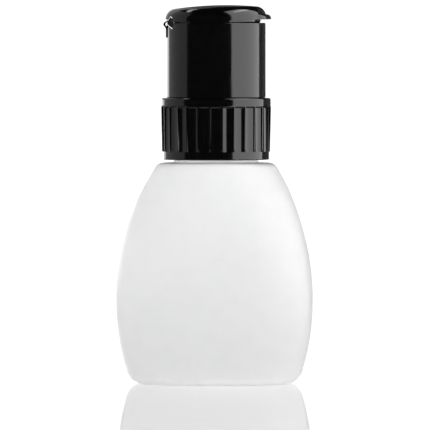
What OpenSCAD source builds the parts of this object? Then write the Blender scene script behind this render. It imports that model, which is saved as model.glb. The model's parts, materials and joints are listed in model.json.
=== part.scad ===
// Push-down pump dispenser bottle: a flattened oval bottle with a threaded neck, a ribbed screw
// collar, and a smooth pump head whose dish is pressed down under a flip lid.
// The base stands on Z = 0, and the neck, collar and pump share the Z axis.

/* [Bottle] */
// Widest width of the bottle, across X
bottle_w = 70; // [60:0.5:80]
// Greatest depth of the bottle, across Y
bottle_d = 52; // [48:0.5:60]
// Height of the flat shoulder that the neck rises from
shoulder_z = 78.3; // [70:0.1:90]
// Radius of the bulging flank, as seen from the front
flank_r = 88.8; // [80:0.1:120]
// Height at which the flank is widest
widest_z = 30; // [26:0.5:36]
// Fillet between flank and base
base_fillet = 6; // [4:0.5:8]
// Fillet between flank and shoulder
shoulder_fillet = 3.5; // [2:0.5:4]
// Wall of the blown bottle
wall = 1.2; // [1:0.1:1.6]
// Height of the push-up under the base
push_up = 1.5; // [1:0.1:2]
// Squareness of the oval at its widest: 2 is an ellipse
squareness = 2.8; // [2:0.1:3.2]

/* [Neck and thread] */
// Outer radius of the neck
neck_r = 15; // [14.9:0.05:15.1]
// Radius of the mouth
mouth_r = 13; // [12.8:0.1:13]
// Height of the neck's sealing rim
rim_z = 95.4; // [95.2:0.1:95.4]
// Rise of the thread in one turn
pitch = 3.175; // [3.1:0.025:3.2]
// Turns of thread
thread_turns = 1.5; // [1:0.25:1.5]
// Crest radius of the neck thread
thread_r = 16.1; // [15.9:0.05:16.15]

/* [Collar] */
// Height of the collar's lower edge
collar_z = 79.5; // [79.4:0.1:79.8]
// Radius over the ribs
rib_r = 19.6; // [19.4:0.1:19.8]
// Number of ribs
rib_count = 28; // [20:1:36]
// Width of one rib
rib_w = 0.6; // [0.5:0.1:1.2]
// Radius of the plain band at the bottom
low_band_r = 18.9; // [18.7:0.05:19.1]
// Radius of the plain band at the top
top_band_r = 19.4; // [19.2:0.05:19.5]

/* [Pump head] */
// Outer radius of the upper housing
head_r = 17.6; // [17.4:0.1:17.8]
// Height of the housing's top edge
head_top = 128; // [127.8:0.1:128]
// Travel of the press dish
press_travel = 8; // [6:0.5:8]
// Radius of the press dish
dish_r = 15.55; // [15.2:0.05:15.6]

/* [Lid] */
// Outer radius of the lid
lid_r = 17.7; // [17.5:0.1:17.8]
// Height of the lid's crown when it is shut
lid_top = 133.7; // [133.5:0.1:134.2]
// Angle that the lid stands ajar at rest
lid_ajar = 1.8; // [0:0.1:2]
// Reach of the thumb tab from the axis
tab_reach = 19.6; // [19.3:0.05:19.8]

/* [Hidden] */

$fn = 96;
eps = 0.01;
fit = 0.08; // running clearance of a turning or sliding fit
snug = 0.02; // clearance of a joint that does not move

// Bottle outline: how much less the depth shrinks than the width
depth_share = 0.44;
sides = 48;
base_oval_w = 20.5;
base_oval_d = 16.5;

// Neck thread: height of its start, and half widths of the ridge at foot and crest
thread_z = 84;
thread_foot = 0.95;
thread_crest = 0.55;

// Collar and head, from the neck upwards
gasket_t = 1.2;
flange_z = rim_z + gasket_t;
flange_t = 2.1;
hub_z = flange_z + flange_t;
lip_z = hub_z + fit;
housing_z = 101.4;
lip_top = housing_z - fit;
collar_bore = 16.6;
swivel_r = 13.4;
rib_z = 82.3;
rib_top = 98.4;
rim_round = 0.35;

// Housing
housing_wall = 1.6;
head_bore = head_r - housing_wall;
floor_top = housing_z + 2;
gland_hole = 9;

// Pump
chamber_r = 7;
bore_r = 5.8;
chamber_floor = 66.6;
tail_z = 56;
tail_r = 4.2;
tube_r = 3;
tube_bore = 2.2;
tube_foot = 3.6;
tube_top = 63.4;
port_r = 1.5;
seat_r = 3;
seat_z = 68;
cage_top = 73;
ball_r = 2.2;
ball_z = 68.25;
stem_r = 3;
stem_bore = 1.6;
stem_top = 118;
piston_z = 88;
piston_t = 6;
gland_top = housing_z - 0.2;
seal_r = 4.9;
seal_pocket = 1.5;

// Dish
dish_rim = 126.4;
dish_floor = 123;
dish_t = 1.3;
skirt_z = floor_top + press_travel + 2; // the skirt stops above the floor when pressed
outlet_ball_r = 2;
outlet_ball_z = 119.22;
nozzle_z = 122;
nozzle_r = 3.4;

// Lid and hinge: the pivot line runs along Y at this x and z
pivot = [-18, 127.75];
pin_r = 0.5;
strap_half = 3;
panel_gap = 0.2;
panel_in = strap_half + panel_gap;
panel_out = 8.7;
notch_half = panel_out + panel_gap;
notch_reach = 3.2;
lid_z = 128.3;
lid_wall = 1.2;
plug_r = 15.7;
plug_z = 127;
crown_r = 125;
lid_round = 3.9;
tab_r = 13.05;
tab_t = 1.65;

// ---------- outlines ----------

// Points of an arc in the plane, ends included
function arc(c, r, a0, a1, n) =
    [for (i = [0:n]) let (a = a0 + (a1 - a0) * i / n) [c[0] + r * cos(a), c[1] + r * sin(a)]];

// Half outline of the bottle, drawn inwards by inset, from the base edge to the shoulder edge
function bottle_outline(inset, z0, z1, low_r, top_r, n_low, n_mid, n_top) =
    let (
        cx = bottle_w / 2 - flank_r,
        r = flank_r - inset,
        low = [cx + sqrt(pow(r - low_r, 2) - pow(widest_z - z0 - low_r, 2)), z0 + low_r],
        top = [cx + sqrt(pow(r - top_r, 2) - pow(z1 - top_r - widest_z, 2)), z1 - top_r],
        a_low = atan2(low[1] - widest_z, low[0] - cx),
        a_top = atan2(top[1] - widest_z, top[0] - cx),
        mid = arc([cx, widest_z], r, a_low, a_top, n_mid)
    )
    concat(
        arc(low, low_r, -90, a_low, n_low),
        [for (i = [1:n_mid - 1]) mid[i]],
        arc(top, top_r, a_top, 90, n_top));

// Half depth that goes with a half width
function depth_at(w) = bottle_d / 2 - depth_share * (bottle_w / 2 - w);

// The oval turns into a circle towards the shoulder
function squareness_at(z) =
    let (t = max(0, min(1, (z - widest_z) / (shoulder_z - widest_z))))
    squareness + (2 - squareness) * t * t;

function signed_pow(v, p) = sign(v) * pow(abs(v), p);

// One ring of the bottle's skin
function oval(w, d, n, z) =
    [for (i = [0:sides - 1]) let (a = 360 * i / sides)
        [w * signed_pow(cos(a), 2 / n), d * signed_pow(sin(a), 2 / n), z]];

// A skin through rings of equal length, closed by a flat face at each end
module skin(rings) {
    n = len(rings[0]);
    last = len(rings) - 1;
    points = [for (ring = rings) for (p = ring) p];
    faces = concat(
        [[for (i = [0:n - 1]) i]],
        [for (k = [0:last - 1]) for (i = [0:n - 1])
            let (j = (i + 1) % n, a = k * n + i, b = k * n + j, c = a + n, d = b + n)
            each [[a, c, b], [b, c, d]]],
        [[for (i = [n - 1:-1:0]) last * n + i]]);
    polyhedron(points, faces, convexity = 6);
}

// A screw ridge whose crest stands at crest_r and whose foot is buried at foot_r
module ridge(foot_r, crest_r, foot_half, crest_half, z0) {
    step = 15;
    taper = 30;
    turn = 360 * thread_turns;
    rings = [for (a = [0:step:turn])
        let (
            z = z0 + pitch * a / 360,
            full = min(1, 0.2 + a / taper, 0.2 + (turn - a) / taper),
            r = foot_r + (crest_r - foot_r) * full,
            half = foot_half + (crest_half - foot_half) * full,
            s = sign(crest_r - foot_r)
        )
        [for (q = [[foot_r, foot_half * s], [r, half * s], [r, -half * s], [foot_r, -foot_half * s]])
            [q[0] * cos(a), q[0] * sin(a), z + q[1]]]];
    skin(rings);
}

// The wedge about the hinge's pivot that is cut out of housing and lid
module wedge() {
    polygon(concat([pivot], arc(pivot, notch_reach, -40, 54, 7)));
}

// Stands an X-Z outline up and gives it a width along Y, from y0 to y1
module along_y(y0, y1) {
    translate([0, y1, 0]) rotate([90, 0, 0]) linear_extrude(y1 - y0) children();
}

// Turns about the hinge's pivot, positive opening
module swing(angle) {
    translate([pivot[0], 0, pivot[1]]) rotate([0, -angle, 0])
        translate([-pivot[0], 0, -pivot[1]]) children();
}

// ---------- bottle side ----------

module bottle() {
    z_in = push_up + 1.3;
    outer = bottle_outline(0, 0, shoulder_z, base_fillet, shoulder_fillet, 5, 11, 4);
    inner = bottle_outline(wall, z_in, shoulder_z - wall, base_fillet - wall,
        shoulder_fillet - wall, 3, 9, 3);
    throat_r = mouth_r + 1;
    rings = concat(
        [oval(base_oval_w - 2, base_oval_d - 2, squareness, push_up),
            oval(base_oval_w, base_oval_d, squareness, 0)],
        [for (p = outer) oval(p[0], depth_at(p[0]), squareness_at(p[1]), p[1])],
        [oval(throat_r, throat_r, 2, shoulder_z), oval(throat_r, throat_r, 2, shoulder_z - wall)],
        [for (i = [len(inner) - 1:-1:0]) let (p = inner[i])
            oval(p[0], depth_at(p[0]) - wall * (1 - depth_share), squareness_at(p[1]), p[1])]);
    color("white") {
        skin(rings);
        rotate_extrude() polygon([
            [mouth_r, shoulder_z - wall - 0.6], [neck_r, shoulder_z - wall - 0.6],
            [neck_r, rim_z - 0.4], [neck_r - 0.4, rim_z],
            [mouth_r + 0.3, rim_z], [mouth_r, rim_z - 0.3]]);
        ridge(neck_r - 0.2, thread_r, thread_foot, thread_crest, thread_z);
    }
}

module neck_gasket() {
    color("gainsboro") translate([0, 0, rim_z]) difference() {
        cylinder(h = gasket_t, r = neck_r);
        translate([0, 0, -eps]) cylinder(h = gasket_t + 2 * eps, r = chamber_r + fit);
    }
}

// ---------- collar ----------

module flute() {
    // The flute is flat across, stands on the low band, and scoops out under the top band
    floor_r = low_band_r - 0.2;
    scoop_r = 2.2;
    width = 2 * PI * rib_r / rib_count - rib_w;
    rotate([90, 0, 0]) linear_extrude(width, center = true) polygon(concat(
        [[floor_r, rib_z], [rib_r + 1, rib_z], [rib_r + 1, rib_top],
            [floor_r + scoop_r - 1.1, rib_top]],
        [for (a = [60:20:180]) [floor_r + scoop_r + scoop_r * cos(a),
            rib_top - scoop_r + scoop_r * sin(a)]]));
}

module collar() {
    color([0.05, 0.05, 0.05]) {
        difference() {
            rotate_extrude() polygon(concat(
                [[collar_bore, collar_z], [low_band_r, collar_z], [low_band_r, rib_z],
                    [rib_r - 0.25, rib_z], [rib_r, rib_top - 0.1], [top_band_r, rib_top + 0.1]],
                arc([top_band_r - rim_round, lip_top - rim_round], rim_round, 0, 90, 4),
                [[swivel_r + fit, lip_top], [swivel_r + fit, lip_z], [collar_bore, lip_z]]));
            for (i = [0:rib_count - 1]) rotate(360 * i / rib_count) flute();
        }
        // The collar's own thread runs in the middle of the gap between the neck's turns
        ridge(collar_bore + 0.15, neck_r + 0.35, thread_foot, thread_crest - 0.1,
            thread_z - pitch / 2);
    }
}

// ---------- fixed half of the pump head ----------

module hinge_notch() {
    along_y(-notch_half, notch_half) wedge();
}

module upper_housing() {
    color([0.05, 0.05, 0.05]) difference() {
        rotate_extrude() polygon(concat(
            [[gland_hole, hub_z], [swivel_r, hub_z], [swivel_r, housing_z], [head_r, housing_z]],
            arc([head_r - rim_round, head_top - rim_round], rim_round, 0, 90, 4),
            [[head_bore, head_top], [head_bore, floor_top], [gland_hole, floor_top]]));
        hinge_notch();
    }
}

module pump_chamber() {
    vent_r = 0.5;
    flange_r = 15.8;
    stop_z = tube_top + 0.1;
    color("whitesmoke") difference() {
        rotate_extrude() polygon([
            [bore_r, seat_z], [seat_r, seat_z], [port_r, chamber_floor], [port_r, stop_z],
            [tube_r + snug, stop_z], [tube_r + snug, tail_z], [tail_r, tail_z],
            [tail_r, chamber_floor - 2], [chamber_r, chamber_floor - 1], [chamber_r, flange_z],
            [flange_r, flange_z], [flange_r, hub_z], [bore_r, hub_z]]);
        translate([0, 0, rim_z - 1]) rotate([0, 90, 0]) cylinder(h = chamber_r + 1, r = vent_r);
    }
}

module chamber_gland() {
    foot = piston_z + piston_t + 0.9;
    cap_r = gland_hole - 1;
    color("white") rotate_extrude() polygon([
        [stem_r + fit, foot], [bore_r - snug, foot], [bore_r - snug, hub_z], [cap_r, hub_z],
        [cap_r, gland_top], [seal_r, gland_top], [seal_r, gland_top - seal_pocket],
        [stem_r + fit, gland_top - seal_pocket]]);
}

module stem_seal() {
    height = seal_pocket - 0.15;
    color("dimgray") translate([0, 0, gland_top - seal_pocket + 0.05]) difference() {
        cylinder(h = height, r = seal_r - snug);
        translate([0, 0, -eps]) cylinder(h = height + 2 * eps, r = stem_r + fit / 2);
    }
}

module ball_cage() {
    slots = 4;
    slot_w = 1.2;
    color("white") difference() {
        translate([0, 0, seat_z]) cylinder(h = cage_top - seat_z, r = bore_r - snug);
        translate([0, 0, seat_z - eps]) cylinder(h = 3.6, r = ball_r + 0.5);
        translate([0, 0, seat_z]) cylinder(h = 10, r = port_r);
        for (i = [0:slots - 1]) rotate(360 * i / slots + 45)
            translate([1.9, -slot_w / 2, seat_z - eps]) cube([2.4, slot_w, 10]);
    }
}

module inlet_ball() {
    color("silver") translate([0, 0, ball_z]) sphere(r = ball_r);
}

module dip_tube() {
    cut_angle = 40;
    color("whitesmoke") difference() {
        translate([0, 0, tube_foot]) cylinder(h = tube_top - tube_foot, r = tube_r);
        translate([0, 0, tube_foot - 1]) cylinder(h = tube_top, r = tube_bore);
        translate([-tube_r, 0, tube_foot]) rotate([0, -cut_angle, 0])
            translate([0, -5, -10]) cube([20, 10, 10]);
    }
}

// ---------- pressed half of the pump head ----------

module return_spring() {
    // Coil of round wire between the ball cage and the piston
    gap = 0.02;
    wire_r = 0.4;
    coil_r = 4.5;
    turns = 6;
    step = 24;
    spring_z = cage_top + wire_r + gap;
    rise = piston_z - cage_top - 2 * (wire_r + gap);
    closed = 0.9;
    // The end turns nearly touch their neighbours, and the turns between share the rest
    function lift(t) = t < 1 ? closed * t
        : t > turns - 1 ? rise - closed * (turns - t)
        : closed + (rise - 2 * closed) * (t - 1) / (turns - 2);
    rings = [for (a = [0:step:360 * turns])
        [for (q = [0:5]) let (b = 60 * q, r = coil_r + wire_r * cos(b))
            [r * cos(a), r * sin(a), spring_z + lift(a / 360) + wire_r * sin(b)]]];
    color("silver") skin([for (i = [len(rings) - 1:-1:0]) rings[i]]);
}

module piston() {
    // A sealing lip at each end of a narrower waist
    lip_r = bore_r - fit;
    waist_r = bore_r - 1;
    color("whitesmoke") translate([0, 0, piston_z]) rotate_extrude() polygon([
        [stem_r + snug, 0], [waist_r, 0], [lip_r, 0.4], [lip_r, 1.4], [waist_r, 2.2],
        [waist_r, piston_t - 2.2], [lip_r, piston_t - 1.4], [lip_r, piston_t - 0.4],
        [waist_r, piston_t], [stem_r + snug, piston_t]]);
}

module stem() {
    foot = piston_z + 0.3;
    height = stem_top - foot;
    color("whitesmoke") difference() {
        translate([0, 0, foot]) cylinder(h = height, r = stem_r);
        translate([0, 0, foot - 1]) cylinder(h = height + 2, r = stem_bore);
    }
}

module outlet_ball() {
    color("silver") translate([0, 0, outlet_ball_z]) sphere(r = outlet_ball_r);
}

module press_dish() {
    boss_r = 4.8;
    skirt_t = 1.1;
    boss_z = skirt_z - 1;
    skirt_in = dish_r - skirt_t;
    // Bowl radius from its depth and the radius of its edge
    edge = dish_r - 0.9;
    depth = dish_rim - 0.3 - dish_floor;
    bowl_r = (edge * edge + depth * depth) / (2 * depth);
    under_r = bowl_r + dish_t;
    reach = asin(edge / bowl_r);
    a_in = asin(nozzle_r / bowl_r);
    centre = [0, dish_floor + bowl_r];
    color("gainsboro") rotate_extrude() polygon(concat(
        [[nozzle_r + snug, nozzle_z]],
        arc(centre, bowl_r, a_in - 90, reach - 90, 8),
        [[dish_r - 0.4, dish_rim], [dish_r, dish_rim - 0.4], [dish_r, skirt_z],
            [skirt_in, skirt_z]],
        arc(centre, under_r, asin(skirt_in / under_r) - 90, asin(boss_r / under_r) - 90, 6),
        [[boss_r, boss_z], [stem_r + snug, boss_z], [stem_r + snug, stem_top],
            [outlet_ball_r + 0.4, stem_top], [outlet_ball_r + 0.4, nozzle_z]]));
}

module outlet_nozzle() {
    holes = 4;
    hole_r = 0.45;
    color("gainsboro") difference() {
        rotate_extrude() polygon([[0, nozzle_z], [nozzle_r, nozzle_z],
            [nozzle_r, dish_floor + 0.3], [nozzle_r - 0.5, dish_floor + 0.7],
            [0, dish_floor + 0.9]]);
        for (i = [0:holes - 1]) rotate(360 * i / holes + 45)
            translate([1.5, 0, nozzle_z - 1]) cylinder(h = 5, r = hole_r);
    }
}

// ---------- hinge and lid ----------

module hinge_strap() {
    foot_z = 122.9;
    outer_x = -head_r - 0.25;
    inner_x = -head_r + 0.6;
    wall_top = pivot[1] - 0.35;
    color([0.05, 0.05, 0.05]) difference() {
        union() {
            along_y(-strap_half, strap_half) polygon([[outer_x, foot_z], [inner_x, foot_z],
                [inner_x, wall_top - 0.8], [pivot[0] + 0.6, wall_top - 0.25],
                [pivot[0] + 0.3, wall_top + 0.05], [pivot[0] - 0.4, pivot[1] - 0.2],
                [outer_x - 0.16, pivot[1] - 1.05], [outer_x, pivot[1] - 1.65]]);
            along_y(-strap_half, strap_half) translate(pivot) circle(r = pin_r);
        }
        // The strap lies against the housing's wall
        translate([0, 0, foot_z - 1]) cylinder(h = wall_top - foot_z + 1, r = head_r + snug);
    }
}

// The two side panels of the snap hinge swing by half the lid's angle
module snap_panel(y0, y1) {
    color([0.05, 0.05, 0.05]) swing(lid_ajar / 2) intersection() {
        // The panel follows the curve of the housing's wall
        translate([0, 0, head_top - 8]) difference() {
            cylinder(h = 15, r = head_r);
            translate([0, 0, -1]) cylinder(h = 17, r = head_bore + 0.1);
        }
        along_y(y0, y1) offset(delta = -panel_gap) wedge();
    }
}

module snap_panel_front() {
    snap_panel(-panel_out, -panel_in);
}

module snap_panel_back() {
    snap_panel(panel_in, panel_out);
}

// Half section of the lid's outer form, domed and rounded at the edge, kept inset from the skin
function lid_section(inset, bottom) =
    let (
        crown = [0, lid_top - crown_r],
        side = lid_r - lid_round,
        a = acos(side / (crown_r - lid_round)),
        edge = [side, crown[1] + (crown_r - lid_round) * sin(a)]
    )
    concat(
        [[0, bottom], [lid_r - inset, bottom]],
        arc(edge, lid_round - inset, 0, a, 8),
        [[0, lid_top - inset]]);

module lid() {
    tab_x = tab_reach - tab_r;
    tab_round = 1.5;
    color([0.05, 0.05, 0.05]) swing(lid_ajar) difference() {
        union() {
            difference() {
                union() {
                    rotate_extrude() polygon(lid_section(0, lid_z));
                    translate([tab_x, 0, lid_z]) rotate_extrude() polygon(concat(
                        [[0, 0], [tab_r, 0]],
                        arc([tab_r - tab_round, 0.1], tab_round, 0, 80, 6), [[0, tab_t]]));
                }
                rotate_extrude() polygon(lid_section(lid_wall, lid_z - 1));
            }
            // Plug ring that closes the housing's mouth
            rotate_extrude() polygon([[plug_r - 1.1, plug_z + 0.3], [plug_r - 0.7, plug_z],
                [plug_r - 0.3, plug_z], [plug_r, plug_z + 0.5], [plug_r, lid_z + 3.2],
                [plug_r - 1.1, lid_z + 4.4]]);
        }
        hinge_notch();
    }
    // Lug that turns on the strap's round bead, narrow enough to open fully
    color([0.05, 0.05, 0.05]) swing(lid_ajar) difference() {
        along_y(-strap_half, strap_half) translate(pivot) polygon([[0.3, 0], [0.58, 0],
            [1, 1.2], [1.3, 2.7], [0.6, 2.7], [0.45, 0.95], [0.3, 0.5]]);
        along_y(-strap_half - 1, strap_half + 1) translate(pivot) circle(r = pin_r + 0.06);
    }
}

bottle();
neck_gasket();
collar();
upper_housing();
pump_chamber();
chamber_gland();
stem_seal();
ball_cage();
inlet_ball();
dip_tube();
return_spring();
piston();
stem();
outlet_ball();
press_dish();
outlet_nozzle();
hinge_strap();
snap_panel_front();
snap_panel_back();
lid();
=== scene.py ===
"""The visible model of the push-down pump dispenser bottle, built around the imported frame.

Outlines are in millimetres in the frame's own axes: Z up along the pump, the lid's hinge at -X,
its thumb tab at +X. Meshes are turned into metres as they are made.
"""

import json
import math

import bmesh
import bpy
from mathutils import Matrix, Vector


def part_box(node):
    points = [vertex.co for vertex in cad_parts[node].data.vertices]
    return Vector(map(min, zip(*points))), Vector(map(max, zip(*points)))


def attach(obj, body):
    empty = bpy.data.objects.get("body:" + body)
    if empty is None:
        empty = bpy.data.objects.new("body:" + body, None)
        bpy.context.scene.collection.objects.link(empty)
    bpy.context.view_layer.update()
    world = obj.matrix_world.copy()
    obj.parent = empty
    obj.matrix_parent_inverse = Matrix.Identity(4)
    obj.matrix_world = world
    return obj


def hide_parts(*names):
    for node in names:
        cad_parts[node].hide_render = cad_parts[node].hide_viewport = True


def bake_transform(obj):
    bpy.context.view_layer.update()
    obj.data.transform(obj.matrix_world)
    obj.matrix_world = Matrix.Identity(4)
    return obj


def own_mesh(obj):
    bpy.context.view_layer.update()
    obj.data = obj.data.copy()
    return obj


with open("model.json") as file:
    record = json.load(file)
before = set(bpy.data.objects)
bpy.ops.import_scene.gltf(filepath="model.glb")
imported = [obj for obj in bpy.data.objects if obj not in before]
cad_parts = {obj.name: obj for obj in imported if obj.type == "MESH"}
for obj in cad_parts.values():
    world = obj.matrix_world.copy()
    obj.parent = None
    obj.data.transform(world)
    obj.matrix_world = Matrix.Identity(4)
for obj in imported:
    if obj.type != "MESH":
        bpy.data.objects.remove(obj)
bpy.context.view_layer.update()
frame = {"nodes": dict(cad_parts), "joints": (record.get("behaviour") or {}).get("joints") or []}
MM = 0.001


# ---------------------------------------------------------------- sizes taken from the frame

def box_mm(node):
    """A CAD node's lowest and highest corner, in millimetres."""
    low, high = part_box(node)
    return low / MM, high / MM


def joint(name):
    """The frame's row for a joint."""
    return next(j for j in frame["joints"] if j["name"] == name)


BOTTLE_HIGH = box_mm("bottle")[1]
COLLAR_LOW, COLLAR_HIGH = box_mm("collar")
HOUSING_LOW, HOUSING_HIGH = box_mm("upper_housing")
CHAMBER_LOW, CHAMBER_HIGH = box_mm("pump_chamber")
DISH_HIGH = box_mm("press_dish")[1]
GASKET_LOW, GASKET_HIGH = box_mm("neck_gasket")

HALF_W = BOTTLE_HIGH.x
HALF_D = BOTTLE_HIGH.y
RIM_Z = BOTTLE_HIGH.z
RIB_R = COLLAR_HIGH.x
HEAD_R = HOUSING_HIGH.x
HEAD_TOP = HOUSING_HIGH.z

PIVOT = Vector(joint("lid_flip")["pos_m"]) / MM
AJAR = math.radians(-joint("lid_flip")["range_deg"][0])


# ---------------------------------------------------------------- outlines

def arc(centre, radius, start, end, steps):
    """Points of an arc in the plane, angles in degrees, ends included."""
    angles = [math.radians(start + (end - start) * i / steps) for i in range(steps + 1)]
    return [(centre[0] + radius * math.cos(a), centre[1] + radius * math.sin(a)) for a in angles]


def fillet(corners, steps=4, closed=True):
    """An outline from (x, z, radius) corners, each corner rounded by its radius.

    A point a little way along each side of a rounded corner keeps the shading of the sides flat.
    """
    points = []
    for i, (x, z, radius) in enumerate(corners):
        at_end = not closed and i in (0, len(corners) - 1)
        if radius == 0 or at_end:
            points.append((x, z))
            continue
        corner = Vector((x, z))
        back = Vector(corners[i - 1][:2]) - corner
        ahead = Vector(corners[(i + 1) % len(corners)][:2]) - corner
        half = back.angle(ahead) / 2
        before, after = back.length, ahead.length
        reach = min(radius / math.tan(half), 0.48 * before, 0.48 * after)
        radius = reach * math.tan(half)
        back.normalize()
        ahead.normalize()
        centre = corner + (back + ahead).normalized() * radius / math.sin(half)
        support = reach + min(0.4 * radius, 0.1)
        first = corner + back * reach - centre
        last = corner + ahead * reach - centre
        side = 1 if first.x * last.y - first.y * last.x > 0 else -1
        sweep = math.pi - 2 * half
        if support < 0.5 * before:
            points.append(tuple(corner + back * support))
        for k in range(steps + 1):
            turn = Matrix.Rotation(side * sweep * k / steps, 2)
            points.append(tuple(centre + turn @ first))
        if support < 0.5 * after:
            points.append(tuple(corner + ahead * support))
    return points


def smooth(t):
    """Eases from 0 to 1 as t goes from 0 to 1, and stays flat outside that."""
    t = max(0.0, min(1.0, t))
    return t * t * (3 - 2 * t)


# ---------------------------------------------------------------- meshes

SHARP_ANGLE = 35


def new_object(name, vertices, faces, sharp_angle=SHARP_ANGLE):
    """A mesh object from points in millimetres, with outward normals and smooth shading."""
    mesh = bpy.data.meshes.new(name)
    mesh.from_pydata([Vector(v) * MM for v in vertices], [], faces)
    bm = bmesh.new()
    bm.from_mesh(mesh)
    bmesh.ops.remove_doubles(bm, verts=bm.verts, dist=0.0005 * MM)
    bmesh.ops.recalc_face_normals(bm, faces=bm.faces)
    if bm.calc_volume(signed=True) < 0:
        bmesh.ops.reverse_faces(bm, faces=bm.faces)
    bm.to_mesh(mesh)
    bm.free()
    piece = bpy.data.objects.new(name, mesh)
    bpy.context.scene.collection.objects.link(piece)
    shade(piece, sharp_angle)
    return piece


def shade(piece, sharp_angle):
    """Smooth shading, with edges kept sharp beyond an angle in degrees."""
    piece.data.shade_smooth()
    piece.data.set_sharp_from_angle(angle=math.radians(sharp_angle))


def skin(name, rings, loop=False, sharp_angle=SHARP_ANGLE):
    """A surface through rings of points. A ring of one point is a pole; loop joins last to first."""
    vertices, starts = [], []
    for ring in rings:
        starts.append(len(vertices))
        vertices.extend(ring)
    faces = []
    pairs = list(zip(range(len(rings)), range(1, len(rings))))
    if loop:
        pairs.append((len(rings) - 1, 0))
    for a, b in pairs:
        ra, rb = rings[a], rings[b]
        n = max(len(ra), len(rb))
        for i in range(n):
            j = (i + 1) % n
            if len(ra) == 1:
                faces.append((starts[a], starts[b] + i, starts[b] + j))
            elif len(rb) == 1:
                faces.append((starts[a] + i, starts[b], starts[a] + j))
            else:
                faces.append((starts[a] + i, starts[b] + i, starts[b] + j, starts[a] + j))
    return new_object(name, vertices, faces, sharp_angle)


def circle(radius, z, segments):
    """One ring of a turned piece, or its pole where the radius is 0."""
    if radius == 0:
        return [(0, 0, z)]
    angles = [2 * math.pi * i / segments for i in range(segments)]
    return [(radius * math.cos(a), radius * math.sin(a), z) for a in angles]


def lathe(name, outline, segments):
    """A turned piece. The outline is a closed loop, or runs from the axis back to the axis."""
    on_axis = outline[0][0] == 0 and outline[-1][0] == 0
    rings = [circle(r, z, segments) for r, z in outline]
    return skin(name, rings, loop=not on_axis)


def prism_y(name, outline, low, high, edge):
    """An X-Z outline given a width along Y, with chamfers of size edge at both ends."""
    count = len(outline)
    area = sum(outline[i - 1][0] * outline[i][1] - outline[i][0] * outline[i - 1][1]
               for i in range(count))
    winding = 1 if area > 0 else -1

    def ring(y, inset):
        """The outline at one place along Y, drawn inwards by inset."""
        points = []
        for i, (x, z) in enumerate(outline):
            along = Vector(outline[(i + 1) % count]) - Vector(outline[i - 1])
            step = along.normalized() * inset * winding
            points.append((x - step.y, y, z + step.x))
        return points

    rings = [ring(low, edge), ring(low + edge, 0), ring(high - edge, 0), ring(high, edge)]
    vertices = [p for r in rings for p in r]
    faces = [tuple(range(count)), tuple(range(3 * count, 4 * count))]
    for k in range(3):
        for i in range(count):
            j = (i + 1) % count
            faces.append((k * count + i, (k + 1) * count + i, (k + 1) * count + j, k * count + j))
    return new_object(name, vertices, faces)


def cut(piece, tools):
    """Cuts the tools out of the piece's mesh and removes them."""
    for tool in tools:
        modifier = piece.modifiers.new("cut", "BOOLEAN")
        modifier.operation = "DIFFERENCE"
        modifier.solver = "EXACT"
        modifier.object = tool
    bpy.context.view_layer.update()
    graph = bpy.context.evaluated_depsgraph_get()
    mesh = bpy.data.meshes.new_from_object(piece.evaluated_get(graph))
    piece.modifiers.clear()
    piece.data = mesh
    shade(piece, SHARP_ANGLE)
    for tool in tools:
        bpy.data.objects.remove(tool)


def drill(radius, depth, place, sides, lying=False):
    """A round tool for cut, in millimetres, along Z or, lying, along X."""
    bpy.ops.mesh.primitive_cylinder_add(
        vertices=sides, radius=radius * MM, depth=depth * MM, location=Vector(place) * MM,
        rotation=(0, math.pi / 2 if lying else 0, 0))
    return bpy.context.object


def swing(piece, angle):
    """Turns a piece's mesh about the hinge line by an angle in radians, positive opening."""
    to_pivot = Matrix.Translation(PIVOT * MM)
    turn = Matrix.Rotation(-angle, 4, "Y")
    piece.data.transform(to_pivot @ turn @ to_pivot.inverted())


# ---------------------------------------------------------------- materials

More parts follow.
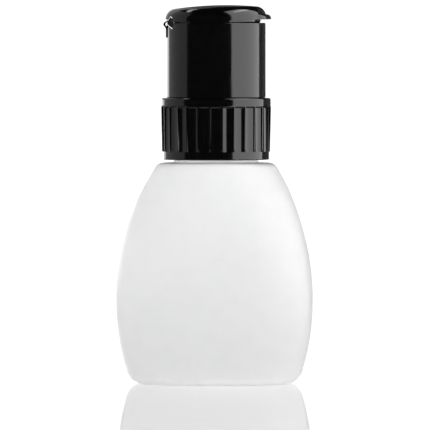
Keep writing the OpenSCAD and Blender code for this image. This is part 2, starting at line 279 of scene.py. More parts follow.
class Look:
    """A small builder for a procedural material around one Principled shader."""

    def __init__(self, name):
        self.material = bpy.data.materials.new(name)
        self.material.use_nodes = True
        self.nodes = self.material.node_tree.nodes
        self.links = self.material.node_tree.links
        self.shader = self.nodes["Principled BSDF"]
        self.place = self.nodes.new("ShaderNodeTexCoord").outputs["Object"]
        self.height = None

    def set(self, **values):
        """Sets the shader's own sockets, named with _ for a space."""
        for key, value in values.items():
            self.shader.inputs[key.replace("_", " ")].default_value = value

    def scaled(self, scale):
        """The object's coordinates, scaled along each axis."""
        node = self.nodes.new("ShaderNodeMapping")
        node.inputs["Scale"].default_value = scale
        self.links.new(self.place, node.inputs["Vector"])
        return node.outputs["Vector"]

    def noise(self, size_mm, detail=3, stretch=(1, 1, 1)):
        """Noise whose features are about size_mm across, and longer along an axis of stretch < 1."""
        node = self.nodes.new("ShaderNodeTexNoise")
        node.inputs["Scale"].default_value = 1 / (size_mm * MM)
        node.inputs["Detail"].default_value = detail
        node.inputs["Roughness"].default_value = 0.55
        self.links.new(self.scaled(stretch), node.inputs["Vector"])
        return node.outputs["Fac"]

    def cells(self, size_mm):
        """The distance from the middle of round cells about size_mm across."""
        node = self.nodes.new("ShaderNodeTexVoronoi")
        node.inputs["Scale"].default_value = 1 / (size_mm * MM)
        self.links.new(self.place, node.inputs["Vector"])
        return node.outputs["Distance"]

    def ramp(self, source, low, high, start=0.3, end=0.7):
        """Maps a 0-1 source between two values or two colours."""
        if isinstance(low, tuple):
            node = self.nodes.new("ShaderNodeMix")
            node.data_type = "RGBA"
            node.inputs["A"].default_value = (*low, 1)
            node.inputs["B"].default_value = (*high, 1)
            self.links.new(self.ramp(source, 0, 1, start, end), node.inputs["Factor"])
            return node.outputs["Result"]
        node = self.nodes.new("ShaderNodeMapRange")
        node.inputs["From Min"].default_value = start
        node.inputs["From Max"].default_value = end
        node.inputs["To Min"].default_value = low
        node.inputs["To Max"].default_value = high
        self.links.new(source, node.inputs["Value"])
        return node.outputs["Result"]

    def bump(self, source, depth_mm):
        """Adds relief of that depth on top of the relief so far."""
        node = self.nodes.new("ShaderNodeBump")
        node.inputs["Distance"].default_value = depth_mm * MM
        self.links.new(source, node.inputs["Height"])
        if self.height:
            self.links.new(self.height, node.inputs["Normal"])
        self.height = node.outputs["Normal"]
        self.links.new(self.height, self.shader.inputs["Normal"])

    def feed(self, socket, source):
        """Drives one of the shader's sockets with a node."""
        self.links.new(source, self.shader.inputs[socket])


def black_gloss():
    """Glossy black polypropylene: a slightly wavy moulded skin with hair scratches and dust."""
    look = Look("black_gloss")
    look.set(IOR=1.5)
    look.feed("Base Color", look.ramp(look.noise(2.5),
                                      (0.0006, 0.0006, 0.0007), (0.0016, 0.0016, 0.0017)))
    scratches = look.noise(0.35, detail=2, stretch=(1, 1, 0.04))
    look.feed("Roughness", look.ramp(scratches, 0.07, 0.17, 0.35, 0.75))
    look.bump(look.noise(9, detail=1), 0.012)
    look.bump(look.noise(0.5, detail=2), 0.0007)
    return look.material


def painted_shade_matt():
    """The same black plastic, dull and barely reflective, with a fine spark-eroded grain: painted shade
    on the panels of the snap hinge, which lie in shade between lid and housing.
    """
    look = Look("painted_shade_matt")
    # The low specular level and high roughness paint the shade of the hinge's notch onto the panels.
    look.set(IOR=1.3, Specular_IOR_Level=0.12)
    look.feed("Base Color", look.ramp(look.noise(1.5), (0.002, 0.002, 0.002), (0.005, 0.005, 0.005)))
    look.feed("Roughness", look.ramp(look.noise(0.3), 0.45, 0.6))
    look.bump(look.noise(0.12, detail=2), 0.004)
    return look.material


def white_plastic():
    """Satin white polyethylene, faintly mottled and pebbled by the blow mould."""
    look = Look("bottle_plastic")
    look.set(IOR=1.5, Specular_IOR_Level=0.3, Subsurface_Weight=0.25, Subsurface_Scale=0.002)
    look.shader.inputs["Subsurface Radius"].default_value = (1.0, 0.97, 0.94)
    look.feed("Base Color", look.ramp(look.noise(6), (0.925, 0.925, 0.925), (0.95, 0.95, 0.948)))
    look.feed("Roughness", look.ramp(look.noise(1.2), 0.30, 0.40))
    look.bump(look.noise(14, detail=1), 0.03)
    look.bump(look.noise(0.35, detail=2), 0.0015)
    return look.material


def natural_plastic():
    """Milky, slightly see-through polypropylene of the pump's inner pieces."""
    look = Look("natural_plastic")
    look.set(IOR=1.49, Subsurface_Weight=0.5, Subsurface_Scale=0.002)
    look.shader.inputs["Subsurface Radius"].default_value = (1.0, 1.0, 1.0)
    look.feed("Base Color", look.ramp(look.noise(3), (0.46, 0.48, 0.49), (0.54, 0.56, 0.57)))
    look.feed("Roughness", look.ramp(look.noise(0.8), 0.26, 0.40))
    look.bump(look.noise(0.4, detail=2), 0.002)
    return look.material


def dish_plastic():
    """Glossy white moulding with fine wear circles from pads."""
    look = Look("dish_plastic")
    look.set(IOR=1.5)
    look.feed("Base Color", look.ramp(look.noise(4), (0.80, 0.80, 0.79), (0.87, 0.87, 0.86)))
    look.feed("Roughness", look.ramp(look.noise(0.25, stretch=(1, 1, 8)), 0.16, 0.36))
    look.bump(look.noise(0.3, detail=2), 0.0012)
    return look.material


def tube_plastic():
    """Extruded polyethylene tube with faint lines along it."""
    look = Look("tube_plastic")
    look.set(IOR=1.5, Subsurface_Weight=0.6, Subsurface_Scale=0.002)
    look.feed("Base Color", look.ramp(look.noise(0.5, stretch=(1, 1, 0.03)),
                                      (0.44, 0.47, 0.48), (0.52, 0.55, 0.56)))
    look.feed("Roughness", look.ramp(look.noise(0.4, stretch=(1, 1, 0.05)), 0.25, 0.42))
    look.bump(look.noise(0.3, stretch=(1, 1, 0.03)), 0.004)
    return look.material


def gasket_foam():
    """Closed-cell foam washer."""
    look = Look("gasket_foam")
    look.feed("Base Color", look.ramp(look.cells(0.35), (0.62, 0.62, 0.60), (0.78, 0.78, 0.76), 0, 0.6))
    look.feed("Roughness", look.ramp(look.noise(0.5), 0.75, 0.92))
    look.bump(look.cells(0.3), 0.05)
    return look.material


def seal_rubber():
    """Dull black rubber with a fine skin."""
    look = Look("seal_rubber")
    look.feed("Base Color", look.ramp(look.noise(0.8), (0.012, 0.012, 0.012), (0.03, 0.03, 0.03)))
    look.feed("Roughness", look.ramp(look.noise(0.3), 0.5, 0.75))
    look.bump(look.noise(0.15), 0.006)
    return look.material


def steel():
    """Drawn stainless steel with fine lines."""
    look = Look("steel")
    look.set(Metallic=1.0)
    look.feed("Base Color", look.ramp(look.noise(1.5), (0.50, 0.50, 0.51), (0.66, 0.66, 0.66)))
    look.feed("Roughness", look.ramp(look.noise(0.12, stretch=(1, 1, 4)), 0.14, 0.34))
    look.bump(look.noise(0.08), 0.0012)
    return look.material


LOOKS = {
    "black_gloss": black_gloss(), "painted_shade_matt": painted_shade_matt(), "bottle_plastic": white_plastic(),
    "natural_plastic": natural_plastic(), "dish_plastic": dish_plastic(),
    "tube_plastic": tube_plastic(), "gasket_foam": gasket_foam(),
    "seal_rubber": seal_rubber(), "steel": steel(),
}


def finish_piece(piece, body, slot, nodes):
    """Gives a new piece the material of its slot and its body, and hides the CAD nodes that it stands
    for.

    A piece given no body is left unattached.
    """
    piece.data.materials.clear()
    piece.data.materials.append(LOOKS[slot])
    if body:
        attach(piece, body)
    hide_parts(*nodes)


# ---------------------------------------------------------------- screw thread

PITCH = 3.175
THREAD_TURNS = 1.5
THREAD_START = 84
THREAD_FADE = 0.07


def thread_height(angle, z, start_z, foot_half, crest_half):
    """How much of a screw ridge stands at this angle and height, from 0 to 1."""
    best = 0.0
    for lap in range(int(THREAD_TURNS) + 1):
        total = angle / (2 * math.pi) + lap
        if total > THREAD_TURNS:
            continue
        away = abs(z - start_z - PITCH * total)
        side = smooth((foot_half - away) / (foot_half - crest_half))
        ends = smooth(min(total, THREAD_TURNS - total) / THREAD_FADE)
        best = max(best, side * ends)
    return best


# ---------------------------------------------------------------- bottle

SHOULDER_Z = 78.3
SHOULDER_ROUND = 3.5
FOOT_ROUND = 6
WIDEST_Z = 30
FLANK_R = 88.8
DEPTH_SHARE = 0.44
SQUARENESS = 2.8
WALL = 1.2
PUSH_UP = 1.5
PUSH_UP_W, PUSH_UP_D = 20.5, 16.5
PUSH_UP_BEND = 1.8
HANG = 0.5  # how far the body stands to the left of the neck's axis
HANG_REACH = 23
NECK_R = 15
NECK_ROUND = 0.8
MOUTH_R = 13
MOUTH_ROUND = 1.2
LIP = 0.6
NECK_THREAD = 1.05
NECK_STEP = 0.16
BOTTLE_SIDES = 288


def bottle_outline(inset, z0, z1, low_r, top_r, n_low, n_mid, n_top):
    """Half outline from the base's edge to the shoulder's edge, drawn inwards by inset."""
    cx = HALF_W - FLANK_R
    r = FLANK_R - inset
    low = (cx + math.sqrt((r - low_r) ** 2 - (WIDEST_Z - z0 - low_r) ** 2), z0 + low_r)
    top = (cx + math.sqrt((r - top_r) ** 2 - (z1 - top_r - WIDEST_Z) ** 2), z1 - top_r)
    a_low = math.degrees(math.atan2(low[1] - WIDEST_Z, low[0] - cx))
    a_top = math.degrees(math.atan2(top[1] - WIDEST_Z, top[0] - cx))
    flank = arc((cx, WIDEST_Z), r, a_low, a_top, n_mid)
    return arc(low, low_r, -90, a_low, n_low) + flank[1:-1] + arc(top, top_r, a_top, 90, n_top)


def depth_at(width, inset=0):
    """Half depth of the bottle where it is so wide, drawn inwards by inset."""
    return HALF_D - DEPTH_SHARE * (HALF_W - width) - inset * (1 - DEPTH_SHARE)


def squareness_at(z):
    """The superellipse's power: squarish up to the widest place, round at the shoulder."""
    t = max(0.0, min(1.0, (z - WIDEST_Z) / (SHOULDER_Z - WIDEST_Z)))
    return SQUARENESS + (2 - SQUARENESS) * t * t


def oval(width, depth, n, z):
    """One ring of the bottle's skin, a superellipse. The body hangs a little off the neck's axis."""
    ring = []
    middle = -HANG * smooth((SHOULDER_Z - 1 - z) / HANG_REACH)
    for i in range(BOTTLE_SIDES):
        a = 2 * math.pi * i / BOTTLE_SIDES
        c, s = math.cos(a), math.sin(a)
        ring.append((middle + math.copysign(width * abs(c) ** (2 / n), c),
                     math.copysign(depth * abs(s) ** (2 / n), s), z))
    return ring


def neck_ring(z):
    """One ring of the neck with its screw ridge."""
    ring = []
    for i in range(BOTTLE_SIDES):
        a = 2 * math.pi * i / BOTTLE_SIDES
        r = NECK_R + NECK_THREAD * thread_height(a, z, THREAD_START, foot_half=0.95, crest_half=0.5)
        ring.append((r * math.cos(a), r * math.sin(a), z))
    return ring


def base_rings():
    """The pushed-up base, from its middle out to the ring that the bottle stands on."""
    rings = [[(0, 0, PUSH_UP)]]
    for share in (0.25, 0.5, 0.7, 0.85):
        rings.append(oval(PUSH_UP_W * share, PUSH_UP_D * share, SQUARENESS, PUSH_UP))
    bends = 8
    for k in range(bends + 1):
        t = k / bends
        inset = PUSH_UP_BEND * (1 - t)
        rings.append(oval(PUSH_UP_W - inset, PUSH_UP_D - inset, SQUARENESS,
                          PUSH_UP * (1 - smooth(t))))
    return rings


def neck_rings():
    """The neck from the shoulder up over its rim and down the inside."""
    rings = []
    for r, z in arc((NECK_R + NECK_ROUND, SHOULDER_Z + NECK_ROUND), NECK_ROUND, 270, 180, 5):
        rings.append(circle(r, z, BOTTLE_SIDES))
    z = SHOULDER_Z + NECK_ROUND + 0.2
    while z < RIM_Z - LIP:
        rings.append(neck_ring(z))
        z += NECK_STEP
    for r, z in fillet([(NECK_R, RIM_Z - LIP, 0), (NECK_R, RIM_Z, 0.45), (MOUTH_R, RIM_Z, 0.35),
                        (MOUTH_R, RIM_Z - 1, 0)], closed=False):
        rings.append(circle(r, z, BOTTLE_SIDES))
    bend = (MOUTH_R + MOUTH_ROUND, SHOULDER_Z - WALL + MOUTH_ROUND)
    for r, z in arc(bend, MOUTH_ROUND, 180, 270, 5):
        rings.append(circle(r, z, BOTTLE_SIDES))
    return rings


def build_bottle():
    """The blow-moulded bottle with its wall, from the base's middle round to the floor inside."""
    floor_z = PUSH_UP + WALL + 0.1
    outer = bottle_outline(0, 0, SHOULDER_Z, FOOT_ROUND, SHOULDER_ROUND, 16, 70, 12)
    inner = bottle_outline(WALL, floor_z, SHOULDER_Z - WALL, FOOT_ROUND - WALL,
                           SHOULDER_ROUND - WALL, 8, 36, 8)
    rings = base_rings()
    for w, z in outer:
        rings.append(oval(w, depth_at(w), squareness_at(z), z))
    top_w = outer[-1][0]
    for w in (0.6 * top_w + 0.42 * NECK_R, 1.08 * NECK_R):
        rings.append(oval(w, w, 2, SHOULDER_Z))
    rings += neck_rings()
    for w, z in reversed(inner):
        rings.append(oval(w, depth_at(w, WALL), squareness_at(z), z))
    floor_w = inner[0][0]
    for share in (0.85, 0.6, 0.3):
        rings.append(oval(floor_w * share, depth_at(floor_w, WALL) * share, SQUARENESS, floor_z))
    rings.append([(0, 0, floor_z)])
    piece = skin("bottle_body", rings, sharp_angle=40)
    finish_piece(piece, "bottle", "bottle_plastic", ["bottle"])


# ---------------------------------------------------------------- collar

RIB_COUNT = 28
FLUTE_R = 18.6
FLUTE_CURVE = 6.0
LOW_BAND_R = 18.9
TOP_BAND_R = 19.4
COLLAR_BORE = 16.6
COLLAR_THREAD = 1.2
COLLAR_STEP = 0.22
SWIVEL_R = 13.48
SWIVEL_Z = 98.78
RIB_FOOT = 82.3
RIB_TOP = 98.4
RIB_DRAFT = 0.28
RIB_FLANK = 0.3
FLANK_START = math.radians(0.3)
FLANK_WIDTH = math.radians(0.65)
SCOOP = 0.7
COLLAR_DROP = 0.1  # how much lower the visible collar reaches than the CAD collar


def collar_columns():
    """Angles round the collar, close together at the flutes' edges, each with its place in a flute."""
    half = 180 / RIB_COUNT
    edge = half - math.degrees(RIB_FLANK / RIB_R)
    places = [-half, -half + 0.35, -edge - 0.32, -edge - 0.12, -edge + 0.08, -edge + 0.28, -edge + 0.6]
    places += [-edge * share for share in (0.75, 0.5, 0.25, 0)]
    places += [-p for p in reversed(places[1:-1])]
    columns = []
    for rib in range(RIB_COUNT):
        middle = 360 * rib / RIB_COUNT
        columns += [(math.radians(middle + p), math.radians(abs(p)), math.radians(edge))
                    for p in places]
    return columns


def ribbed_radius(place, edge, z):
    """Outer radius at an angle off a flute's middle: hollow flute, rounded rib, scooped top."""
    rib = RIB_R - RIB_DRAFT * (RIB_TOP - z) / (RIB_TOP - RIB_FOOT)
    over = z - (RIB_TOP - SCOOP)
    floor = FLUTE_R + (SCOOP - math.sqrt(max(0.0, SCOOP ** 2 - over ** 2)) if over > 0 else 0)
    across = floor * math.tan(min(place, edge))
    floor = min((floor + across ** 2 / (2 * FLUTE_CURVE)) / math.cos(min(place, edge)), rib)
    rise = smooth((place - edge + FLANK_START) / FLANK_WIDTH)
    return floor + (rib - floor) * rise


def build_collar():
    """The ribbed screw ring, its swivel ledge and its own thread inside."""
    columns = collar_columns()
    low, top = COLLAR_LOW.z - COLLAR_DROP, COLLAR_HIGH.z

    def plain(r, z):
        """A round ring on the collar's columns."""
        return [(r * math.cos(a), r * math.sin(a), z) for a, _, _ in columns]

    def ribbed(z, shrink=0.0):
        """A ring over ribs and flutes, drawn in by shrink as far as the lower band."""
        ring = []
        for a, place, edge in columns:
            r = ribbed_radius(place, edge, z)
            r = max(min(r, LOW_BAND_R), r - shrink) if shrink else r
            ring.append((r * math.cos(a), r * math.sin(a), z))
        return ring

    rings = [plain(r, z) for r, z in fillet(
        [(COLLAR_BORE + 0.5, low, 0), (LOW_BAND_R, low, 0.3), (LOW_BAND_R, RIB_FOOT, 0)],
        closed=False)]
    rings += [ribbed(RIB_FOOT, 0.12), ribbed(RIB_FOOT + 0.04, 0.04), ribbed(RIB_FOOT + 0.12)]
    z = RIB_FOOT + 1.2
    while z < RIB_TOP - SCOOP:
        rings.append(ribbed(z))
        z += 1.5
    scoop_steps = 14
    for k in range(scoop_steps + 1):
        rise = math.sin(math.radians(84 * k / scoop_steps))
        rings.append(ribbed(RIB_TOP - SCOOP + (SCOOP - 0.12) * rise))
    rings += [plain(TOP_BAND_R + 0.08, RIB_TOP - 0.02), plain(TOP_BAND_R, RIB_TOP + 0.12)]
    rings += [plain(r, z) for r, z in fillet(
        [(TOP_BAND_R, RIB_TOP + 0.6, 0), (TOP_BAND_R, top, 0.6), (SWIVEL_R, top, 0.1),
         (SWIVEL_R, SWIVEL_Z, 0.1), (COLLAR_BORE, SWIVEL_Z, 0.25), (COLLAR_BORE, 98, 0)],
        closed=False)]
    z = 97.5
    while z > low + 1:
        ring = []
        for a, _, _ in columns:
            ridge = thread_height(a % (2 * math.pi), z, THREAD_START - PITCH / 2,
                                  foot_half=0.9, crest_half=0.42)
            r = COLLAR_BORE - COLLAR_THREAD * ridge
            ring.append((r * math.cos(a), r * math.sin(a), z))
        rings.append(ring)
        z -= COLLAR_STEP
    rings += [plain(COLLAR_BORE, low + 0.6), plain(COLLAR_BORE + 0.2, low + 0.15)]
    piece = skin("screw_collar", rings, loop=True, sharp_angle=32)
    finish_piece(piece, "collar", "black_gloss", ["collar"])


# ---------------------------------------------------------------- pump head, fixed half

HEAD_WALL = 1.6
HEAD_BORE = HEAD_R - HEAD_WALL
HOUSING_FOOT = 101.4
HOUSING_FLOOR = HOUSING_FOOT + 2
HUB_R = 13.4
HUB_BORE = 9
NOTCH_REACH = 3.2
NOTCH_HALF = 9
BARREL_R = 7
BARREL_BORE = 5.8
BARREL_SEAT = 63.5
FLANGE_R = 15.8
FLANGE_THICK = 2.1
TAIL_R = 4.2
TUBE_R = 3
TUBE_BORE = 2.2
TUBE_CUT = math.tan(math.radians(40))
WIRE_R = 0.4
COIL_R = 4.5
COIL_TURNS = 6
COIL_END_RISE = 0.9


def notch_tool():
    """A wedge about the hinge line, to cut the snap hinge's notch."""
    outline = arc((PIVOT.x, PIVOT.z), NOTCH_REACH, -40, 54, 12) + [(PIVOT.x, PIVOT.z)]
    return prism_y("notch_tool", outline, -NOTCH_HALF, NOTCH_HALF, edge=0.0005)


def build_housing():
    """The smooth cylinder above the collar, on a hub that stands in the collar's swivel."""
    outline = fillet([
        (HUB_BORE, HOUSING_LOW.z, 0.15), (HUB_R, HOUSING_LOW.z, 0.15), (HUB_R, HOUSING_FOOT, 0.1),
        (HEAD_R, HOUSING_FOOT, 0.25), (HEAD_R, HEAD_TOP, 0.35), (HEAD_BORE, HEAD_TOP, 0.25),
        (HEAD_BORE, HOUSING_FLOOR, 0.5), (HUB_BORE, HOUSING_FLOOR, 0.15)])
    piece = lathe("housing_shell", outline, segments=256)
    cut(piece, [notch_tool()])
    finish_piece(piece, "pump_head", "black_gloss", ["upper_housing"])


def build_chamber():
    """The pump's barrel with its flange, its tail for the dip tube and its vent hole."""
    top = CHAMBER_HIGH.z
    flange = top - FLANGE_THICK
    tail = CHAMBER_LOW.z
    socket = TUBE_R + 0.02
    inlet = TUBE_R / 2
    outline = fillet([
        (BARREL_BORE, 68, 0), (3, 68, 0), (inlet, 66.6, 0), (inlet, BARREL_SEAT, 0),
        (socket, BARREL_SEAT, 0), (socket, tail, 0.2), (TAIL_R, tail, 0.3), (TAIL_R, 64.6, 0.8),
        (BARREL_R, 65.6, 0.6), (BARREL_R, flange, 0.5), (FLANGE_R, flange, 0.25),
        (FLANGE_R, top, 0.25), (BARREL_BORE, top, 0.1)])
    piece = lathe("pump_barrel", outline, segments=128)
    cut(piece, [drill(0.5, 8, (6, 0, GASKET_LOW.z - 1), sides=24, lying=True)])
    finish_piece(piece, "pump_head", "natural_plastic", ["pump_chamber"])


def build_gasket():
    """The washer between the neck's rim and the barrel's flange."""
    low, high = GASKET_LOW.z, GASKET_HIGH.z
    bore = BARREL_R + 0.08
    outline = fillet([(bore, low, 0.15), (NECK_R, low, 0.3), (NECK_R, high, 0.3), (bore, high, 0.15)])
    piece = lathe("neck_washer", outline, segments=96)
    finish_piece(piece, "gasket", "gasket_foam", ["neck_gasket"])


def build_dip_tube():
    """The suction tube, cut off at a slant at its lower end."""
    low, high = box_mm("dip_tube")
    outline = fillet([(TUBE_BORE, low.z, 0), (TUBE_R, low.z, 0), (TUBE_R, high.z, 0.15),
                      (TUBE_BORE, high.z, 0.15)])
    rings = [circle(r, z, 48) for r, z in outline]
    for ring in rings[:2]:
        for i, (x, y, z) in enumerate(ring):
            ring[i] = (x, y, z + (x + TUBE_R) * TUBE_CUT)
    piece = skin("suction_tube", rings, loop=True)
    finish_piece(piece, "pump_head", "tube_plastic", ["dip_tube"])


def build_spring():
    """Round wire coil with closed ends."""
    low, high = box_mm("return_spring")
    start = low.z + WIRE_R
    rise = high.z - low.z - 2 * WIRE_R
    steps = 40
    sides = 10

    def lift(t):
        """How high the wire has risen after t turns."""
        if t < 1:
            return COIL_END_RISE * t
        if t > COIL_TURNS - 1:
            return rise - COIL_END_RISE * (COIL_TURNS - t)
        return COIL_END_RISE + (rise - 2 * COIL_END_RISE) * (t - 1) / (COIL_TURNS - 2)

    rings = [[(COIL_R, 0, start)]]
    for k in range(COIL_TURNS * steps + 1):
        a = 2 * math.pi * k / steps
        z = start + lift(k / steps)
        ring = []
        for q in range(sides):
            b = 2 * math.pi * q / sides
            r = COIL_R + WIRE_R * math.cos(b)
            ring.append((r * math.cos(a), r * math.sin(a), z + WIRE_R * math.sin(b)))
        rings.append(ring)
    rings.append([(COIL_R, 0, start + rise)])
    piece = skin("coil_spring", rings)
    finish_piece(piece, "pump_head", "steel", ["return_spring"])
    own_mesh(piece)


# ---------------------------------------------------------------- pump head, pressed half

BOWL_FLOOR = 123
BOWL_THICK = 1.3
BOWL_EDGE_DROP = 0.3
SKIRT_FOOT = 113.4
SKIRT_THICK = 1.1
BOSS_R = 4.8
STEM_SEAT = 118
NOZZLE_SEAT = 122
NOZZLE_R = 3.4
OUTLET_COUNT = 4
OUTLET_R = 0.45
OUTLET_RING = 1.5


def build_dish():
    """The concave dish that is pressed, with its skirt and the boss for stem and nozzle."""
    rim, radius = DISH_HIGH.z, DISH_HIGH.x
    edge, edge_z = radius - 0.9, rim - BOWL_EDGE_DROP
    depth = edge_z - BOWL_FLOOR
    bowl_r = (edge ** 2 + depth ** 2) / (2 * depth)
    centre = (0, BOWL_FLOOR + bowl_r)
    low = SKIRT_FOOT
    skirt_in = radius - SKIRT_THICK
    hole = NOZZLE_R + 0.02
    stem = 3.02
    way = 2.4

    def bowl(r, bowl_radius):
        """The angle on the bowl's arc at a distance from the axis."""
        return math.degrees(math.asin(r / bowl_radius)) - 90

    upper = arc(centre, bowl_r, bowl(hole, bowl_r), bowl(edge, bowl_r), 20)
    rim_line = fillet([(edge, edge_z, 0), (radius - 0.35, rim, 0.3), (radius, rim - 0.35, 0.25),
                       (radius, low, 0.3), (skirt_in, low, 0.3), (skirt_in, low + 2, 0)],
                      closed=False)
    under_r = bowl_r + BOWL_THICK
    under = arc(centre, under_r, bowl(skirt_in, under_r), bowl(BOSS_R, under_r), 12)
    boss = fillet([(BOSS_R, low + 2, 0), (BOSS_R, low - 1, 0.3), (stem, low - 1, 0.2),
                   (stem, STEM_SEAT, 0), (way, STEM_SEAT, 0), (way, NOZZLE_SEAT, 0),
                   (hole, NOZZLE_SEAT, 0)], closed=False)
    piece = lathe("dish", upper + rim_line[1:] + under + boss, segments=160)
    finish_piece(piece, "plunger", "dish_plastic", ["press_dish"])


def build_nozzle():
    """The button in the dish's middle, with its ring of outlet holes."""
    low, high = box_mm("outlet_nozzle")
    outline = fillet([(0, low.z, 0), (NOZZLE_R, low.z, 0.1), (NOZZLE_R, high.z - 0.5, 0.35),
                      (1.2, high.z - 0.02, 1.0), (0, high.z, 0)], closed=False)
    piece = lathe("outlet_button", outline, segments=64)
    holes = []
    for i in range(OUTLET_COUNT):
        a = 2 * math.pi * (i + 0.5) / OUTLET_COUNT
        place = (OUTLET_RING * math.cos(a), OUTLET_RING * math.sin(a), low.z)
        holes.append(drill(OUTLET_R, 6, place, sides=20))
    cut(piece, holes)
    finish_piece(piece, "plunger", "dish_plastic", ["outlet_nozzle"])


# ---------------------------------------------------------------- lid and hinge

# The visible lid and its plug ring are 0.2 and 0.15 mm larger in radius than the CAD's.
LID_R = 17.9
LID_FOOT = 128.3
LID_TOP = 133.7
CROWN_R = 125
LID_ROUND = 3.7
LID_THICK = 1.2
LID_SHELF = 131
TAB_R = 13.05
TAB_X = 6.6
TAB_BLEND = 0.25
PLUG_R = 15.85
PLUG_THICK = 1.1
PLUG_FOOT = 127
FILM_HALF = 3.1


def tab_radius(angle):
    """How far the lid's side, with the thumb tab's crescent, stands from the axis."""
    s = TAB_X * math.sin(angle)
    reach = TAB_X * math.cos(angle) + math.sqrt(TAB_R ** 2 - s ** 2)
    gap = reach - LID_R
    if gap < -TAB_BLEND:
        return LID_R
    if gap > TAB_BLEND:
        return reach
    return LID_R + (gap + TAB_BLEND) ** 2 / (4 * TAB_BLEND)


EDGE_X = LID_R - LID_ROUND
EDGE_ANGLE = math.acos(EDGE_X / (CROWN_R - LID_ROUND))
EDGE_Z = LID_TOP - CROWN_R + (CROWN_R - LID_ROUND) * math.sin(EDGE_ANGLE)


def lid_side(z):
    """Radius of the lid's side and rounded edge at a height."""
    over = max(0.0, z - EDGE_Z)
    return EDGE_X + math.sqrt(LID_ROUND ** 2 - over ** 2)


def lid_crown(inset, lowest):
    """The lid's domed crown and rounded edge as far down as lowest, from the axis outwards."""
    steep = math.degrees(EDGE_ANGLE)
    last = math.degrees(math.asin((lowest - EDGE_Z) / (LID_ROUND - inset)))
    crown = arc((0, LID_TOP - CROWN_R), CROWN_R - inset, 90, steep, 12)
    crown[0] = (0, LID_TOP - inset)
    return crown + arc((EDGE_X, EDGE_Z), LID_ROUND - inset, steep, last, 12)[1:]


def build_lid():
    """The domed flip lid with its thumb tab, inner shelf and plug ring, swung ajar as at rest."""
    columns = 288
    angles = [2 * math.pi * i / columns for i in range(columns)]

    def ring(r, z, share=0):
        """A ring that follows the thumb tab by the given share."""
        if r == 0:
            return [(0, 0, z)]
        reach = [r + share * (tab_radius(a) - LID_R) for a in angles]
        return [(e * math.cos(a), e * math.sin(a), z) for e, a in zip(reach, angles)]

    # Shares of the thumb tab's reach, down from its root over its nose to its underside.
    tab = [(0.05, 129.98), (0.18, 129.95), (0.34, 129.88), (0.5, 129.78), (0.65, 129.63),
           (0.78, 129.45), (0.88, 129.2), (0.95, 128.9), (0.99, 128.6), (1.0, 128.4),
           (0.985, 128.24), (0.95, 128.14), (0.9, 128.1)]
    rings = [ring(r, z) for r, z in lid_crown(0, 130.02)]
    rings += [ring(lid_side(z), z, share) for share, z in tab]
    plug_in = PLUG_R - PLUG_THICK
    inner = fillet([(LID_R - 0.6, LID_FOOT, 0), (LID_R - 1.1, LID_FOOT, 0.1),
                    (LID_R - LID_THICK, LID_SHELF, 0.3), (PLUG_R, LID_SHELF, 0.2),
                    (PLUG_R, PLUG_FOOT + 0.4, 0.2), (PLUG_R - 0.35, PLUG_FOOT, 0.15),
                    (plug_in + 0.35, PLUG_FOOT, 0.15), (plug_in, PLUG_FOOT + 0.4, 0.2),
                    (plug_in, LID_SHELF + 0.5, 0.3)], closed=False)
    rings += [ring(r, z) for r, z in inner]
    roof = [p for p in lid_crown(LID_THICK, 130.5) if p[0] < plug_in - 0.3]
    rings += [ring(r, z) for r, z in reversed(roof)]
    piece = skin("flip_lid", rings, sharp_angle=32)
    cut(piece, [notch_tool()])
    swing(piece, AJAR)
    finish_piece(piece, "lid", "black_gloss", ["lid"])


def build_hinge_film():
    """The hinge's centre strap: up the outside of the housing, over the fold, into the lid."""
    outline = fillet([
        (-17.0, 122.75, 0), (-17.78, 122.75, 0.15), (-17.82, 126.0, 0.5), (-18.48, 126.9, 0.4),
        (-18.76, 127.45, 0.25), (-18.55, 128.05, 0.3), (-18.0, 128.45, 0.3), (-17.2, 128.75, 0),
        (-17.2, 128.35, 0), (-17.85, 128.02, 0.15), (-18.03, 127.55, 0.15), (-17.85, 127.0, 0.2),
        (-17.42, 126.5, 0.2), (-17.0, 126.3, 0)], steps=5)
    piece = prism_y("hinge_film", outline, -FILM_HALF, FILM_HALF, edge=0.1)
    finish_piece(piece, None, "black_gloss", ["hinge_strap"])
    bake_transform(piece)


# ---------------------------------------------------------------- nodes that keep the CAD's shape

CARRIED = {
    "chamber_gland": "natural_plastic", "stem_seal": "seal_rubber", "ball_cage": "natural_plastic",
    "inlet_ball": "steel", "outlet_ball": "steel", "piston": "natural_plastic",
    # The snap panels get the dull black that paints the shade of their notch.
    "stem": "natural_plastic", "snap_panel_front": "painted_shade_matt", "snap_panel_back": "painted_shade_matt",
}


def dress_carried_nodes():
    """Gives the CAD nodes that stay their procedural materials."""
    for node, slot in CARRIED.items():
        carried = frame["nodes"][node]
        carried.data.materials.clear()
        carried.data.materials.append(LOOKS[slot])


# ---------------------------------------------------------------- stage, in metres

LIGHT_AIM = Vector((0, 0, 0.08))

# Each panel's azimuth and elevation in degrees, its distance, width and height in metres, its
# brightness, and whether it lights matt surfaces instead of showing in gloss.
SOFTBOXES = {
    "right_gloss": (77.3, 6, 0.6, 1.06, 2.6, 2.9, False),
    "right_rear_gloss": (139, 6, 0.6, 0.45, 0.6, 0.1, False),
    "right_strip": (88, 58, 0.7, 0.5, 0.1, 4.0, False),
    "left_gloss": (-106, 6, 0.6, 0.85, 1.1, 0.45, False),
    "left_rear_gloss": (-158, 0, 0.6, 0.37, 0.11, 2.0, False),
    "left_rear_upper": (-158, 24, 0.6, 0.37, 0.38, 0.5, False),
    "rear_gloss": (180, 10, 0.6, 0.5, 0.16, 0.1, False),
    "left_strip": (-128, 57, 0.7, 0.42, 0.08, 3.5, False),
    "right_fill": (62, 0, 0.7, 0.8, 0.6, 0.04, True),
}
FLOOR_R = 0.75
FLOOR_GLOW = 0.17
BACKDROP_PLACE = (0, 0.7, 0.03)
BACKDROP_WIDTH, BACKDROP_HEIGHT = 0.36, 0.1
BACKDROP_GLOW = 1.25
SKY_GLOW = 1.1
GLOSS_GLOW = 0.012
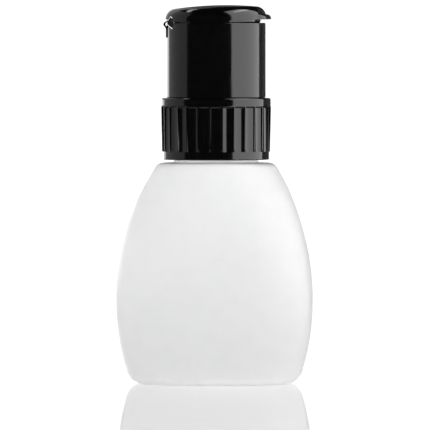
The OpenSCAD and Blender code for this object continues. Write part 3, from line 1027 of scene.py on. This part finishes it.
FILL = {"From Min": 0.08, "From Max": 0.15, "To Min": 5.3, "To Max": 0.22}
CAMERA_PLACE = Vector((-0.00037, -2.132, 0.115))
CAMERA_AIM = Vector((-0.00037, 0, 0.0597))
LENS_MM = 502
SENSOR_MM = 36


def softbox(name, azimuth, elevation, distance, width, height, brightness, matt):
    """A light panel that faces the object. Azimuth 0 is the camera's side, 90 the right.

    Panels either shape the reflections in gloss or light the matt surfaces.
    """
    light = bpy.data.lights.new(name, "AREA")
    light.shape = "RECTANGLE"
    light.size = width
    light.size_y = height
    light.energy = brightness * math.pi * width * height
    panel = bpy.data.objects.new(name, light)
    a, e = math.radians(azimuth), math.radians(elevation)
    away = Vector((math.sin(a) * math.cos(e), -math.cos(a) * math.cos(e), math.sin(e)))
    panel.location = LIGHT_AIM + away * distance
    panel.rotation_euler = (-away).to_track_quat("-Z", "Y").to_euler()
    panel.visible_camera = False
    panel.visible_diffuse = matt
    panel.visible_glossy = not matt
    bpy.context.scene.collection.objects.link(panel)


def dish_light():
    """A narrow beam from straight above, which falls in the dish when the lid is open."""
    beam = bpy.data.lights.new("dish_light", "SPOT")
    beam.energy = 14
    beam.spot_size = math.radians(2.8)
    beam.spot_blend = 0.3
    beam.shadow_soft_size = 0.002
    lamp = bpy.data.objects.new("dish_light", beam)
    lamp.location = (0, 0, 0.75)
    lamp.visible_glossy = False
    bpy.context.scene.collection.objects.link(lamp)


def build_floor():
    """A pale round table top with a clear mirror in it, which glows a little to stay white."""
    bpy.ops.mesh.primitive_circle_add(vertices=96, radius=FLOOR_R, fill_type="NGON")
    floor = bpy.context.object
    floor.name = "floor"
    look = Look("floor")
    look.feed("Base Color", look.ramp(look.noise(60), (0.93, 0.93, 0.93), (0.95, 0.95, 0.95)))
    look.set(Roughness=0.03, IOR=1.45, Emission_Color=(1, 1, 1, 1), Emission_Strength=FLOOR_GLOW)
    floor.data.materials.append(look.material)


def build_backdrop():
    """A white panel behind the object, seen from the front only."""
    bpy.ops.mesh.primitive_plane_add(size=1, location=BACKDROP_PLACE, rotation=(math.pi / 2, 0, 0))
    panel = bpy.context.object
    panel.name = "backdrop"
    panel.scale = (BACKDROP_WIDTH, BACKDROP_HEIGHT, 1)
    material = bpy.data.materials.new("backdrop")
    material.use_nodes = True
    nodes, links = material.node_tree.nodes, material.node_tree.links
    nodes.clear()
    glow = nodes.new("ShaderNodeEmission")
    glow.inputs["Strength"].default_value = BACKDROP_GLOW
    clear = nodes.new("ShaderNodeBsdfTransparent")
    side = nodes.new("ShaderNodeNewGeometry")
    mix = nodes.new("ShaderNodeMixShader")
    out = nodes.new("ShaderNodeOutputMaterial")
    links.new(side.outputs["Backfacing"], mix.inputs["Fac"])
    links.new(glow.outputs["Emission"], mix.inputs[1])
    links.new(clear.outputs["BSDF"], mix.inputs[2])
    links.new(mix.outputs["Shader"], out.inputs["Surface"])
    panel.data.materials.append(material)


def build_world():
    """White behind the object, dark in gloss, and for matt surfaces a soft fill.

    The fill is strong up to just above the horizon and weak higher up.
    """
    world = bpy.data.worlds.new("studio")
    bpy.context.scene.world = world
    world.use_nodes = True
    nodes, links = world.node_tree.nodes, world.node_tree.links
    nodes.clear()

    def glow(strength):
        """A white background whose strength is a number or a node's output."""
        node = nodes.new("ShaderNodeBackground")
        node.inputs["Color"].default_value = (1, 1, 1, 1)
        if isinstance(strength, float):
            node.inputs["Strength"].default_value = strength
        else:
            links.new(strength, node.inputs["Strength"])
        return node.outputs["Background"]

    def choose(ray, yes, no):
        """One background for rays of that kind and another for the rest."""
        node = nodes.new("ShaderNodeMixShader")
        links.new(path.outputs[ray], node.inputs["Fac"])
        links.new(no, node.inputs[1])
        links.new(yes, node.inputs[2])
        return node.outputs["Shader"]

    path = nodes.new("ShaderNodeLightPath")
    direction = nodes.new("ShaderNodeSeparateXYZ")
    links.new(nodes.new("ShaderNodeTexCoord").outputs["Generated"], direction.inputs[0])
    fill = nodes.new("ShaderNodeMapRange")
    for key, value in FILL.items():
        fill.inputs[key].default_value = value
    links.new(direction.outputs["Z"], fill.inputs["Value"])
    out = nodes.new("ShaderNodeOutputWorld")
    indirect = choose("Is Glossy Ray", glow(GLOSS_GLOW), glow(fill.outputs["Result"]))
    links.new(choose("Is Camera Ray", glow(SKY_GLOW), indirect), out.inputs["Surface"])


def build_camera():
    """A long lens level with the pump head, which looks down by about 1.5 degrees."""
    lens = bpy.data.cameras.new("camera")
    lens.sensor_width = SENSOR_MM
    lens.lens = LENS_MM
    lens.clip_end = 20
    camera = bpy.data.objects.new("camera", lens)
    camera.location = CAMERA_PLACE
    camera.rotation_euler = (CAMERA_AIM - CAMERA_PLACE).to_track_quat("-Z", "Y").to_euler()
    bpy.context.scene.collection.objects.link(camera)
    bpy.context.scene.camera = camera


def build_stage():
    """Camera, world, floor, backdrop and lights, none of which is part of the object."""
    build_camera()
    build_world()
    build_floor()
    build_backdrop()
    for name, values in SOFTBOXES.items():
        softbox(name, *values)
    dish_light()
    bpy.context.scene.view_settings.view_transform = "Standard"


build_stage()
build_bottle()
build_collar()
build_housing()
build_chamber()
build_gasket()
build_dip_tube()
build_spring()
build_dish()
build_nozzle()
build_lid()
build_hinge_film()
dress_carried_nodes()
